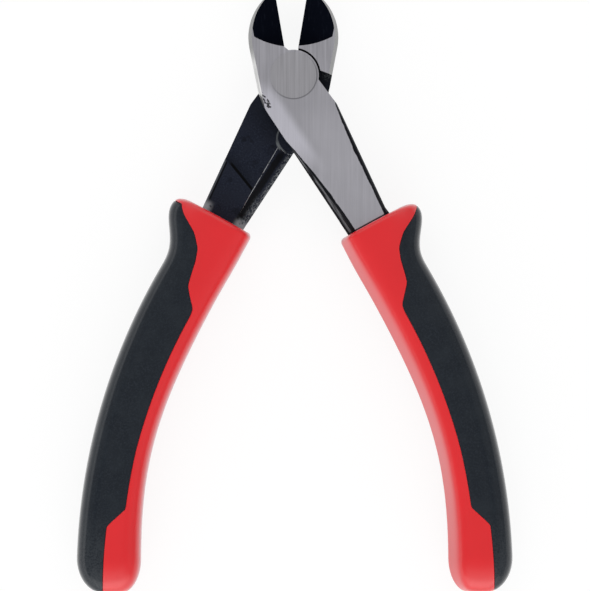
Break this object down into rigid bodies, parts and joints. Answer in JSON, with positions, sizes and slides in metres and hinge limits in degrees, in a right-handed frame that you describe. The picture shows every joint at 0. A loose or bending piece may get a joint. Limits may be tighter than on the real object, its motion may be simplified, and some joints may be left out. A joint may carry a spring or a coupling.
{
  "type": "diagonal cutting pliers",
  "caption": "Hand pliers with bevelled diagonal cutting jaws in a riveted lap joint, curved arms and red and black two-part moulded grips with thumb guards.",
  "frame": {"origin": "centre of the rivet's rear end, on the rear ground face of the head, with the tool lying flat and half open", "axes": "+Z along the pivot axis out of the front face, +Y towards the jaw tips, +X across the tool to the right"},
  "size_m": [0.111, 0.1529, 0.017],
  "materials": {
    "forged_steel": "black forged steel with ground, brushed faces on the head and arms",
    "ground_steel": "ground flush and brushed",
    "red_grip": "semi-gloss red moulded plastic",
    "black_grip": "matte black soft moulded rubber with a fine grain"
  },
  "bodies": {
    "front_half": {"front_lever": "forged_steel", "pivot_rivet": "ground_steel", "right_grip_sleeve": "red_grip", "right_grip_cover": "black_grip"},
    "rear_half": {"rear_lever": "forged_steel", "left_grip_sleeve": "red_grip", "left_grip_cover": "black_grip"}
  },
  "joints": [
    {"name": "jaw_pivot", "type": "hinge", "parent": "front_half", "child": "rear_half", "pos_m": [0, 0, 0], "axis": [0, 0, -1], "range_deg": [-21.9, 20]}
  ]
}
